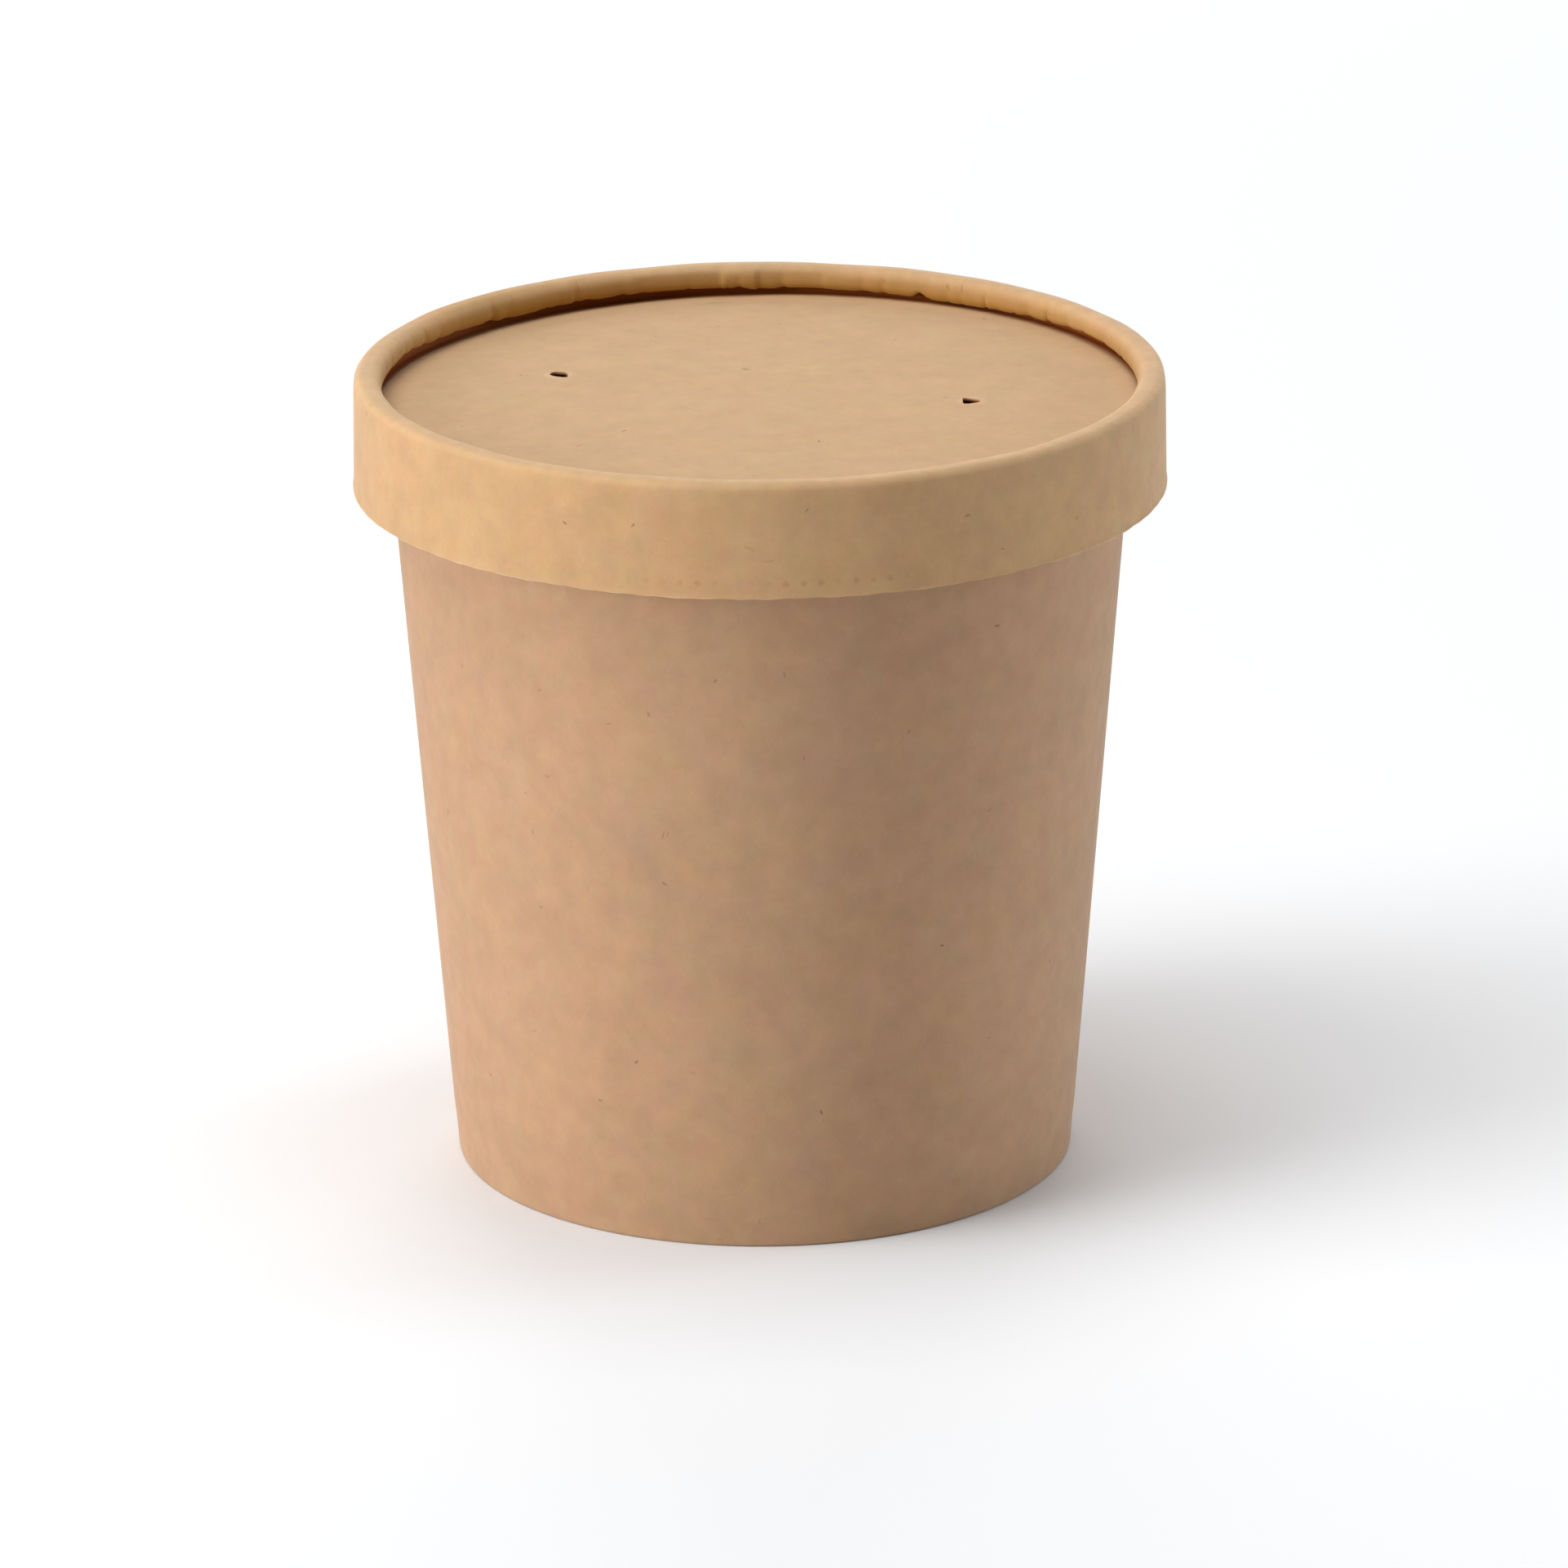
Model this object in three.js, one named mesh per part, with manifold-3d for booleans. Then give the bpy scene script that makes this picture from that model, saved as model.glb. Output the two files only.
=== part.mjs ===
// A kraft paper tub for ice cream, shut with its two-piece kraft paper lid.
// Millimetres, +Z up. The tub stands on z = 0 and the Z axis is the axis of the tub.
//
// The real tub is wound from three blanks and the lid from two:
//   cup        side wall, lapped up the back, folded under at the foot, curled to a bead at the mouth
//   cup_base   round base, set up inside the foot with its edge turned down
//   lid_disc   round panel with its edge turned up, pierced by two steam vents
//   lid_band   strip round the lid, lapped at the back, its top edge rolled inward and down
// The tub is shut, so the wall is made solid up to just under the lid's panel.

import * as THREE from 'three';
import { mergeVertices } from 'three/addons/utils/BufferGeometryUtils.js';
import Module from 'manifold-3d';

// ---------- driving dimensions ----------

const board = 0.45; // thickness of the paper board
const gap = 0.3; // air kept between two pieces that touch
const degree = Math.PI / 180;

// Tub wall.
const footRadius = 39.1; // outside of the wall where it stands
const wallTaper = 0.0766; // radius gained for each millimetre of height
const footRingWidth = 1.5; // wall, base skirt and turned-in flap, pressed together
const footRingRounding = 0.5;
const flapHeight = 5.0; // how far the wall is folded back up inside the foot
const flapLedge = 0.9; // step over the flap's raw edge
const beadRadius = 49.0; // outside of the curled mouth
const beadTube = 1.5; // radius of the curl itself
const beadTop = 97.7;

// Base of the tub.
const baseHeight = 6.0; // underside of the base above the table
const baseTurn = 0.6; // inner radius of its turned-down edge

// Lid panel.
const panelEdgeTop = 98.45; // upper face of the panel at its edge
const panelCrown = 0.8; // how far the middle of the panel stands above its edge
const panelCrownRadius = 47.0;
const flangeRadius = 49.75; // outside of the turned-up edge
const flangeTop = 100.9;
const flangeTurn = 1.0; // outer radius of the turn between panel and flange
const ventRadius = 1.25;
const ventWellDepth = 10.0; // the vents look into the dark of the tub
const vents = [
  [-25.2, 8.6],
  [26.4, -5.2],
];

// Lid band.
const bandTop = 102.1; // crest of the roll, the highest line of the object
const bandRadius = 50.5; // outside of the band under the roll
const bandBottom = 87.7;
const bandBottomRadius = 50.8; // the band flares a little to its cut edge
const bandEdgeRounding = 0.15;
const outerShoulder = 1.2; // radius of the roll's outer shoulder
const innerShoulder = 1.5; // radius of its inner shoulder
const rollInnerRadius = 47.0; // narrowest point of the roll
const rollEdgeHeight = 98.95; // raw edge of the rolled strip, just over the panel
const rollEdgeTuck = 0.35; // how far that edge tucks back under the roll

// Laps, where a strip's end lies over its other end, at the back of the object.
const lapRise = 0.4;
const wallLap = { angle: 95 * degree, width: 7.0, fade: 5.0 };
const bandLap = { angle: 90 * degree, width: 4.8, fade: 4.0 };
const lapEdgeWidth = 0.25; // run of the slope down the raw edge

// Pleats in the inner leg of the roll, where the strip is gathered to a smaller circle.
const pleatDepth = 0.16;
const edgeWander = 0.17; // how far the raw edge rises and falls
const pleatWaves = [9, 17, 26, 37];
const wanderWaves = [1, 2, 5, 11, 19];
const pleatSeed = 7;

// How finely round shapes are divided.
const wallSegments = 72;
const bandSegments = 108;
const ventSegments = 16;

// ---------- helpers ----------

const wallRadiusAt = (height) => footRadius + wallTaper * height;
const clamp01 = (value) => Math.min(1, Math.max(0, value));
const point = (radius, height) => new THREE.Vector2(radius, height);

// Height that the crowned panel gains over its edge.
function crownAt(radius) {
  const share = clamp01(1 - (radius / panelCrownRadius) ** 2);
  return panelCrown * share;
}

// Points on an arc in the (radius, height) plane, both ends included.
function arc(centreRadius, centreHeight, size, startDegrees, endDegrees, steps) {
  const points = [];
  for (let i = 0; i <= steps; i += 1) {
    const angle = (startDegrees + ((endDegrees - startDegrees) * i) / steps) * degree;
    points.push(point(centreRadius + size * Math.cos(angle), centreHeight + size * Math.sin(angle)));
  }
  return points;
}

// A profile turned about Z. It runs anticlockwise with radius to the right and height up.
function turned(profile, segments) {
  const geometry = new THREE.LatheGeometry(profile, segments);
  geometry.rotateX(Math.PI / 2);
  geometry.deleteAttribute('normal');
  geometry.deleteAttribute('uv');
  return geometry;
}

// Moves each vertex of a turned shape: change(radius, angle, height) gives the new three.
function reshape(geometry, change) {
  const place = geometry.attributes.position;
  for (let i = 0; i < place.count; i += 1) {
    const radius = Math.hypot(place.getX(i), place.getY(i));
    const angle = Math.atan2(place.getY(i), place.getX(i));
    const [newRadius, newAngle, newHeight] = change(radius, angle, place.getZ(i));
    place.setXYZ(i, newRadius * Math.cos(newAngle), newRadius * Math.sin(newAngle), newHeight);
  }
  return geometry;
}

// Distance round a circle from the lap's raw edge, counted the way the top layer runs.
function alongLap(lap, radius, angle) {
  const turn = (angle - lap.angle + 3 * Math.PI) % (2 * Math.PI);
  return (turn - Math.PI) * radius;
}

// How far the outer face stands proud over a lap: a step at the raw edge, then a long slope.
function lapAt(lap, radius, angle) {
  const along = alongLap(lap, radius, angle);
  if (along < -1e-3) return 0;
  return lapRise * clamp01((lap.width + lap.fade - along) / lap.fade);
}

// Draws the row of vertices just before a lap up to its raw edge, so that the step is sharp.
function tightenLap(lap, radius, angle, segments) {
  const along = alongLap(lap, radius, angle);
  const spacing = (2 * Math.PI * radius) / segments;
  if (along >= -1e-3 || along < -1.01 * spacing) return angle;
  return lap.angle - lapEdgeWidth / radius;
}

// A closed wave round the circle, between -1 and 1, from whole-numbered waves with seeded phases.
function seededWave(waves, seed) {
  let state = seed;
  const draw = () => {
    state = (state * 16807) % 2147483647;
    return state / 2147483647;
  };
  const parts = waves.map((count) => ({ count, phase: 2 * Math.PI * draw(), size: 0.5 + draw() }));
  const total = parts.reduce((sum, part) => sum + part.size, 0);
  return (angle) =>
    parts.reduce((sum, part) => sum + part.size * Math.sin(part.count * angle + part.phase), 0) / total;
}

const wasm = await Module();
wasm.setup();

// A closed geometry as a manifold solid.
function toSolid(geometry) {
  const merged = mergeVertices(geometry, 1e-4);
  const triVerts = [];
  const index = merged.index.array;
  for (let i = 0; i < index.length; i += 3) {
    const [a, b, c] = index.slice(i, i + 3);
    if (a !== b && b !== c && c !== a) triVerts.push(a, b, c);
  }
  const vertProperties = new Float32Array(merged.attributes.position.array);
  const mesh = new wasm.Mesh({ numProp: 3, vertProperties, triVerts: new Uint32Array(triVerts) });
  return new wasm.Manifold(mesh);
}

// A manifold solid as a geometry again.
function toGeometry(solid) {
  const mesh = solid.getMesh();
  const geometry = new THREE.BufferGeometry();
  geometry.setAttribute('position', new THREE.BufferAttribute(mesh.vertProperties, 3));
  geometry.setIndex(new THREE.BufferAttribute(mesh.triVerts, 1));
  geometry.computeVertexNormals();
  return geometry;
}

// Round holes under the vents, from one height to another.
function drilled(geometry, bottom, top) {
  let solid = toSolid(geometry);
  for (const [x, y] of vents) {
    const drill = new THREE.CylinderGeometry(ventRadius, ventRadius, top - bottom, ventSegments);
    drill.rotateX(Math.PI / 2);
    drill.translate(x, y, (top + bottom) / 2);
    drill.deleteAttribute('normal');
    drill.deleteAttribute('uv');
    solid = solid.subtract(toSolid(drill));
  }
  return toGeometry(solid);
}

// Kraft board as it looks on the tub and, yellower, on the lid.
function kraft(colour, roughness) {
  return new THREE.MeshStandardMaterial({ color: colour, roughness, metalness: 0 });
}

// ---------- tub wall ----------

function makeCup() {
  const flapInner = footRadius - footRingWidth;
  const rounding = footRingRounding;
  const ledgeRadius = flapInner + flapLedge;
  const ceiling = baseHeight + board + gap;
  const beadMiddle = beadRadius - beadTube;
  const beadHeight = beadTop - beadTube;
  const curlStart = 223; // degrees round the bead, where it leaves the wall
  const profile = [
    point(0, ceiling),
    point(ledgeRadius, ceiling),
    point(ledgeRadius, flapHeight),
    point(flapInner, flapHeight),
    ...arc(flapInner + rounding, rounding, rounding, 180, 270, 2),
    ...arc(footRadius - rounding, rounding, rounding, 270, 360, 2),
    point(wallRadiusAt(48), 48),
    ...arc(beadMiddle, beadHeight, beadTube, curlStart, 450, 8),
  ];
  for (const radius of [30, 15, 0]) {
    profile.push(point(radius, beadTop + crownAt(radius)));
  }
  const shape = turned(profile, wallSegments);
  reshape(shape, (radius, angle, height) => {
    const outside = radius > wallRadiusAt(height) - 0.1 && height > rounding;
    const rise = outside ? lapAt(wallLap, radius, angle) : 0;
    const tight = tightenLap(wallLap, radius, angle, wallSegments);
    return [radius + rise * clamp01((beadTop - height) / beadTube), tight, height];
  });
  return drilled(shape, beadTop - ventWellDepth, beadTop + 5);
}

// ---------- base ----------

function makeBase() {
  const outer = footRadius - footRingWidth + flapLedge - gap;
  const outerTurn = baseTurn + board;
  const turnCentre = outer - outerTurn;
  const turnHeight = baseHeight - baseTurn;
  const profile = [
    point(0, baseHeight),
    ...arc(turnCentre, turnHeight, baseTurn, 90, 0, 2),
    ...arc(turnCentre, turnHeight, outerTurn, 0, 90, 3),
    point(0, baseHeight + board),
  ];
  return turned(profile, wallSegments);
}

// ---------- lid panel ----------

function makeDisc() {
  const underside = panelEdgeTop - board;
  const turnCentre = flangeRadius - flangeTurn;
  const turnHeight = underside + flangeTurn;
  const crownRadii = [15, 30, panelCrownRadius];
  const under = crownRadii.map((radius) => point(radius, underside + crownAt(radius)));
  const over = crownRadii.map((radius) => point(radius, panelEdgeTop + crownAt(radius))).reverse();
  const profile = [
    point(0, underside + panelCrown),
    ...under,
    ...arc(turnCentre, turnHeight, flangeTurn, 270, 360, 3),
    point(flangeRadius, flangeTop),
    point(flangeRadius - board, flangeTop),
    ...arc(turnCentre, turnHeight, flangeTurn - board, 360, 270, 2),
    ...over,
    point(0, panelEdgeTop + panelCrown),
  ];
  return drilled(turned(profile, wallSegments), underside - 1, panelEdgeTop + 3);
}

// ---------- lid band ----------

function makeBand() {
  const edge = bandEdgeRounding;
  const outerCentre = bandRadius - outerShoulder;
  const outerHeight = bandTop - outerShoulder;
  const innerCentre = rollInnerRadius + innerShoulder;
  const innerHeight = bandTop - innerShoulder;
  const legMiddle = (innerHeight + rollEdgeHeight) / 2;
  const tucked = rollInnerRadius + rollEdgeTuck;
  const profile = [
    point(bandBottomRadius - board, bandBottom),
    point(bandBottomRadius - edge, bandBottom),
    point(bandBottomRadius, bandBottom + edge),
    ...arc(outerCentre, outerHeight, outerShoulder, 0, 90, 3),
    ...arc(innerCentre, innerHeight, innerShoulder, 90, 180, 4),
    point(rollInnerRadius + rollEdgeTuck / 4, legMiddle),
    point(tucked, rollEdgeHeight),
    point(tucked + board, rollEdgeHeight),
    point(rollInnerRadius + rollEdgeTuck / 4 + board, legMiddle),
    ...arc(innerCentre, innerHeight, innerShoulder - board, 180, 90, 2),
    ...arc(outerCentre, outerHeight, outerShoulder - board, 90, 0, 2),
  ];
  profile.push(profile[0].clone());

  const pleat = seededWave(pleatWaves, pleatSeed);
  const wander = seededWave(wanderWaves, pleatSeed + 4);
  const bandSlope = (bandBottomRadius - bandRadius) / (bandTop - outerShoulder - bandBottom);
  const shape = turned(profile, bandSegments);
  return reshape(shape, (radius, angle, height) => {
    const onLeg = radius < innerCentre ? clamp01((bandTop - height) / (bandTop - rollEdgeHeight)) : 0;
    const faceRadius = bandRadius + bandSlope * (bandTop - outerShoulder - height);
    const outside = radius > faceRadius - board / 2;
    const rise = outside ? lapAt(bandLap, radius, angle) * clamp01((bandTop - height) / outerShoulder) : 0;
    const newRadius = radius + rise + onLeg * pleatDepth * pleat(angle);
    const newHeight = height + onLeg * edgeWander * wander(angle);
    return [newRadius, tightenLap(bandLap, radius, angle, bandSegments), newHeight];
  });
}

// ---------- the object ----------

const cupKraft = kraft(0xb98f6c, 0.85);
const lidKraft = kraft(0xd0ab7c, 0.85);

const tub = new THREE.Group();

function addPiece(name, geometry, material) {
  const mesh = new THREE.Mesh(geometry, material);
  mesh.name = name;
  tub.add(mesh);
}

addPiece('cup', makeCup(), cupKraft.clone());
addPiece('cup_base', makeBase(), cupKraft.clone());
addPiece('lid_disc', makeDisc(), lidKraft.clone());
addPiece('lid_band', makeBand(), lidKraft.clone());

export default tub;
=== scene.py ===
# %% [markdown]
# # A kraft paper ice cream tub, shut with its paper lid
#
# The real tub is made of flat paper board: a side wall wound into a cone and lapped up the back, a round
# base set up inside the foot, and a lid of two more pieces, a round panel and a strip that is rolled over
# the panel's turned-up edge. Every piece is a sheet of one thickness, so every piece is modelled the same
# way here: one face of the sheet is raised ring by ring from a circle, small folds and dents are pressed
# into it, and only then does it get its thickness.

# %% Load the fixed frame
import math
import random

import bpy
from mathutils import Matrix, Vector


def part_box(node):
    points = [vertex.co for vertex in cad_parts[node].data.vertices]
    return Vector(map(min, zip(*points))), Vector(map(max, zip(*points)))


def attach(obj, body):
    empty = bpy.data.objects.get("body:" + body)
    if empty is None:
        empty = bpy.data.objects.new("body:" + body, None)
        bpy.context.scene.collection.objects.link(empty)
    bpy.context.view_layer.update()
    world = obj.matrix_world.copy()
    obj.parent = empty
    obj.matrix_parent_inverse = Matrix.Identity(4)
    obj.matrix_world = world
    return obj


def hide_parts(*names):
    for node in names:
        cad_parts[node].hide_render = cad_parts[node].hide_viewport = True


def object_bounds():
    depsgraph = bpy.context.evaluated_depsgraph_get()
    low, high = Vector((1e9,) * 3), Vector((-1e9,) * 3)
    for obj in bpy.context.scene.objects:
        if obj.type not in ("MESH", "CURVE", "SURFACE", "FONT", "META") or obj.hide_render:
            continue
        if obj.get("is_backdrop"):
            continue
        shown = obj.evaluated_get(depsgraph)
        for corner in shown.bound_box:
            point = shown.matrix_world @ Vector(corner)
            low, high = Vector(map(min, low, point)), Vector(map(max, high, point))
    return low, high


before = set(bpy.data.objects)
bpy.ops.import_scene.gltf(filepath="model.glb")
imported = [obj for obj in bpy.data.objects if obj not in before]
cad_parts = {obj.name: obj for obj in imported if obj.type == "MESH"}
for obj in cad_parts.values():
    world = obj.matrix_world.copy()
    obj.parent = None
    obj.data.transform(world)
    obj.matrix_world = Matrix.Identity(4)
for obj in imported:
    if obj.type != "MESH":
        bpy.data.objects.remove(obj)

cad_box = [list(map(float, corner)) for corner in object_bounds()]
print("frame:", sorted(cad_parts), "box in mm:", [[round(v * 1000, 1) for v in c] for c in cad_box])

# %% [markdown]
# The sizes below are the maker's sizes in millimetres. Blender works in metres here, so a length is
# turned into metres where it goes into a mesh. The lid's heights and outer radii are read from the frame, so the
# lid cannot drift away from it.

# %% Sizes of the real tub
MM = 0.001
BOARD = 0.45  # thickness of the paper board


def node_size(node):
    """Outer radius, lowest and highest height of a node of the frame, in millimetres."""
    low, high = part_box(node)
    return round(high.x / MM, 2), round(low.z / MM, 2), round(high.z / MM, 2)


flange_radius, _, flange_top = node_size("lid_disc")
band_bottom_radius, band_bottom, band_top = node_size("lid_band")
print("flange", flange_radius, flange_top, "band", band_bottom_radius, band_bottom, band_top)

# %% [markdown]
# ## Camera
#
# The photograph was taken from a little above, with a long lens: the sides of the tub hardly converge.
# The distance, the tilt and the focal length were worked out from the ellipses of the lid and the foot.
# The picture is also turned by less than half a degree, which the camera's roll repeats.

# %% Camera at the photograph's angle
PHOTO_SIZE = 1920  # pixels, both ways
camera_distance = 1129.9 * MM
camera_tilt = 0.3245  # radians below the horizon
camera_roll = -0.0074
focal_pixels = 10961.7
target = Vector((0, 0, 50 * MM))
target_pixel = (933.4, 935.4)  # where the target lies in the photograph
SENSOR = 36.0  # millimetres, as the lens is given in
nearest_seen = 50 * MM

bpy.ops.object.camera_add(location=(0, 0, 0))
camera = bpy.context.object
camera.name = "camera"
look = Matrix.Rotation(math.pi / 2 - camera_tilt, 4, "X")
away = Vector((0, -math.cos(camera_tilt), math.sin(camera_tilt))) * camera_distance
camera.matrix_world = Matrix.Translation(target + away) @ look @ Matrix.Rotation(camera_roll, 4, "Z")
camera.data.sensor_width = SENSOR
camera.data.lens = focal_pixels * SENSOR / PHOTO_SIZE
camera.data.shift_x = (PHOTO_SIZE / 2 - target_pixel[0]) / PHOTO_SIZE
camera.data.shift_y = (target_pixel[1] - PHOTO_SIZE / 2) / PHOTO_SIZE
camera.data.clip_start = nearest_seen
camera.data.dof.use_dof = False
bpy.context.scene.camera = camera
print("camera:", round(camera.data.lens, 1), "mm lens,", round(math.degrees(camera_tilt), 1), "degrees down")

# %% [markdown]
# ## Raising a sheet
#
# A paper cone or a rolled rim is a surface of revolution, so a plain circle can be raised into it as on a
# potter's wheel: extrude the ring, move it up, scale it to its new radius, and go on. Spinning an outline
# would give the same surface. Raising it ring by ring keeps the rings evenly spaced along the paper, and
# the list of rings reads like the drawing of the piece.


# %% Helpers that raise a sheet from a circle
def deselect():
    if bpy.context.object and bpy.context.object.mode != "OBJECT":
        bpy.ops.object.mode_set(mode="OBJECT")
    bpy.ops.object.select_all(action="DESELECT")


def pick(piece):
    """Makes a piece the only selected and the active object."""
    deselect()
    piece.select_set(True)
    bpy.context.view_layer.objects.active = piece


def arc(centre, size, start, end, steps):
    """Rings on an arc in the plane of radius and height, in millimetres and degrees."""
    rings = []
    for step in range(steps + 1):
        angle = math.radians(start + (end - start) * step / steps)
        rings.append((centre[0] + size * math.cos(angle), centre[1] + size * math.sin(angle)))
    return rings


def stretch(start, end, steps):
    """Evenly spaced rings on a straight stretch, without its first ring."""
    spaces = [step / steps for step in range(1, steps + 1)]
    return [(start[0] + (end[0] - start[0]) * t, start[1] + (end[1] - start[1]) * t) for t in spaces]


def raise_sheet(name, rings, sides, fill="NOTHING"):
    """Raises a sheet through (radius, height) rings. Its faces point away from the board's own thickness."""
    deselect()
    radius, height = rings[0]
    bpy.ops.mesh.primitive_circle_add(
        vertices=sides, radius=radius * MM, fill_type=fill, location=(0, 0, height * MM)
    )
    piece = bpy.context.object
    piece.name = piece.data.name = name
    bpy.ops.object.transform_apply(location=True, rotation=True, scale=True)
    bpy.ops.object.mode_set(mode="EDIT")
    bpy.ops.mesh.select_mode(type="VERT")
    bpy.ops.mesh.select_all(action="SELECT")
    if fill != "NOTHING":
        bpy.ops.mesh.select_mode(type="EDGE")
        bpy.ops.mesh.region_to_loop()
    for next_radius, next_height in rings[1:]:
        rise = (next_height - height) * MM
        bpy.ops.mesh.extrude_edges_move(TRANSFORM_OT_translate={"value": (0, 0, rise)})
        grow = next_radius / radius
        bpy.ops.transform.resize(value=(grow, grow, 1), center_override=(0, 0, next_height * MM))
        radius, height = next_radius, next_height
    bpy.ops.mesh.select_mode(type="VERT")
    bpy.ops.object.mode_set(mode="OBJECT")
    print(name, "sheet:", len(piece.data.vertices), "points,", len(rings), "rings")
    return piece


def point_faces(piece, towards):
    """Turns the whole sheet over if its faces don't point the way that `towards` says for a place."""
    agreement = sum(face.normal.dot(towards(face.center)) * face.area for face in piece.data.polygons)
    if agreement < 0:
        pick(piece)
        bpy.ops.object.mode_set(mode="EDIT")
        bpy.ops.mesh.select_all(action="SELECT")
        bpy.ops.mesh.flip_normals()
        bpy.ops.object.mode_set(mode="OBJECT")


# %% [markdown]
# Paper is never quite even. Each fold, lap and dent is a small push along the surface, so it is painted as
# a weight by a rule on the place (angle round the tub, radius, height) and then pressed with a Displace
# modifier that follows the weight. This is the numeric twin of a sculpt brush with a mask, and it gives
# the same dent on every run.


# %% Helpers that press folds into a sheet and give it its thickness
def cylinder_place(point):
    """Angle in degrees (0 at +X, 90 at the back), radius and height in millimetres."""
    angle = math.degrees(math.atan2(point.y, point.x)) % 360
    return angle, math.hypot(point.x, point.y) / MM, point.z / MM


def apply_modifiers(piece):
    pick(piece)
    for modifier in list(piece.modifiers):
        bpy.ops.object.modifier_apply(modifier=modifier.name)


def press(piece, depth, rule, direction="NORMAL"):
    """Pushes the sheet by depth millimetres times rule(angle, radius, height), along its normal or an axis."""
    group = piece.vertex_groups.new(name="press")
    touched = 0
    for vertex in piece.data.vertices:
        weight = rule(*cylinder_place(vertex.co))
        if weight > 1e-4:
            group.add([vertex.index], min(weight, 1.0), "REPLACE")
            touched += 1
    push = piece.modifiers.new("press", "DISPLACE")
    push.vertex_group = group.name
    push.direction = direction
    push.mid_level = 0
    push.strength = depth * MM
    apply_modifiers(piece)
    piece.vertex_groups.remove(piece.vertex_groups["press"])
    return touched


def thicken(piece, thickness=BOARD):
    """Gives the sheet its board thickness, behind the face that was modelled, and closes the raw edges."""
    wall = piece.modifiers.new("board", "SOLIDIFY")
    wall.thickness = thickness * MM
    wall.offset = -1
    wall.use_even_offset = True
    wall.use_quality_normals = True
    apply_modifiers(piece)


CUT_ANGLE = 55  # degrees: a sharper edge than this is a cut one
SMOOTH_ANGLE = 40


def soften(piece, width=0.06):
    """Takes the sharpness off the raw cut edges and shades the rest smooth."""
    bevel = piece.modifiers.new("cut edge", "BEVEL")
    bevel.width = width * MM
    bevel.segments = 2
    bevel.limit_method = "ANGLE"
    bevel.angle_limit = math.radians(CUT_ANGLE)
    apply_modifiers(piece)
    pick(piece)
    bpy.ops.object.shade_smooth_by_angle(angle=math.radians(SMOOTH_ANGLE))
    print(piece.name, "finished:", len(piece.data.polygons), "faces")


def bump_at(value, centre, width):
    """A smooth hump: 1 at the centre, falling to nothing about one and a half widths away."""
    return math.exp(-(((value - centre) / width) ** 2) * 2)


def turn_between(angle, start):
    """Degrees from start to angle, between -180 and 180."""
    return (angle - start + 180) % 360 - 180


def choose_faces(piece, rule):
    """Enters edit mode with only those faces selected whose centre, in millimetres, passes the rule."""
    pick(piece)
    bpy.ops.object.mode_set(mode="EDIT")
    bpy.ops.mesh.select_mode(type="FACE")
    bpy.ops.mesh.select_all(action="DESELECT")
    bpy.ops.object.mode_set(mode="OBJECT")
    for face in piece.data.polygons:
        face.select = rule(face.center / MM)
    bpy.ops.object.mode_set(mode="EDIT")


EDGE_WIDTH = 0.06  # degrees from one row of points to the other at a raw edge
AXIS_CLEARANCE = 10  # millimetres: nearer to the axis nothing is cut


def step_cut(piece, angle):
    """Cuts two rows of points close together along a line at that angle, where a raw edge will stand."""
    for offset in (0.0, EDGE_WIDTH):
        turn = math.radians(angle + offset)
        side = Vector((math.cos(turn), math.sin(turn), 0))
        choose_faces(piece, lambda centre: centre.dot(side) > AXIS_CLEARANCE)
        bpy.ops.mesh.bisect(plane_co=(0, 0, 0), plane_no=(-side.y, side.x, 0))
        bpy.ops.object.mode_set(mode="OBJECT")


def slope(value, start, end):
    """0 before start, 1 after end, and a straight slope between them."""
    return max(0.0, min(1.0, (value - start) / (end - start)))


def lap_rule(start, width, fade, share):
    """Height of the top layer over a lap: nothing before the raw edge, full over it, then a slope.
    Width and fade are in degrees. share(radius, height) says where the lap stands up and where it is flat."""

    def rule(angle, radius, height):
        along = turn_between(angle, start + EDGE_WIDTH / 2)
        return 0.0 if along < 0 else (1 - slope(along, width, width + fade)) * share(radius, height)

    return rule


def paint(piece, name, rule):
    """Stores a value from 0 to 1 on every point, under a name that the paper's material reads."""
    layer = piece.data.attributes.new(name, "FLOAT", "POINT")
    values = [min(1.0, rule(*cylinder_place(point.co))) for point in piece.data.vertices]
    layer.data.foreach_set("value", values)
    print(piece.name, "painted", name, "on", sum(value > 0 for value in values), "points")


# %% [markdown]
# ## The tub's wall
#
# The blank of the wall is a fan of board, wound into a cone and glued where its ends lap up the back. At
# the foot it is folded under and back up inside, over the turned-down edge of the base. At the mouth it is
# curled outwards into a bead, which the lid snaps over. The outer face of the board is modelled: up the
# inside of the foot, round the fold, up the wall and over into the bead.

# %% Wall of the tub
TUB_SIDES = 360
foot_radius = 39.1
wall_taper = 0.0766  # radius gained per millimetre of height
foot_inner = foot_radius - 1.5
foot_rounding = 0.5
flap_height = 5.0
bead_tube = 1.5
bead_top = 97.7


def wall_radius(height):
    return foot_radius + wall_taper * height


def wall_outwards(place):
    """Outwards for the wall's own face. The bead and the flap turn both ways, so they have no say."""
    outer = place.z < 90 * MM and place.xy.length > foot_radius * MM
    return Vector((place.x, place.y, 0)) if outer else Vector()


bead_height = bead_top - bead_tube
curl = bead_tube - BOARD
bead_centre = (wall_radius(bead_height) + curl, bead_height)
wall_rings = [(foot_inner, flap_height), (foot_inner, 3.0)]
wall_rings += arc((foot_inner + foot_rounding, foot_rounding), foot_rounding, 180, 270, 4)
wall_rings += arc((foot_radius - foot_rounding, foot_rounding), foot_rounding, 270, 360, 4)
wall_rings += stretch((foot_radius, foot_rounding), (wall_radius(bead_height), bead_height), 32)
wall_rings += arc(bead_centre, curl, 180, -120, 14)[1:]

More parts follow.
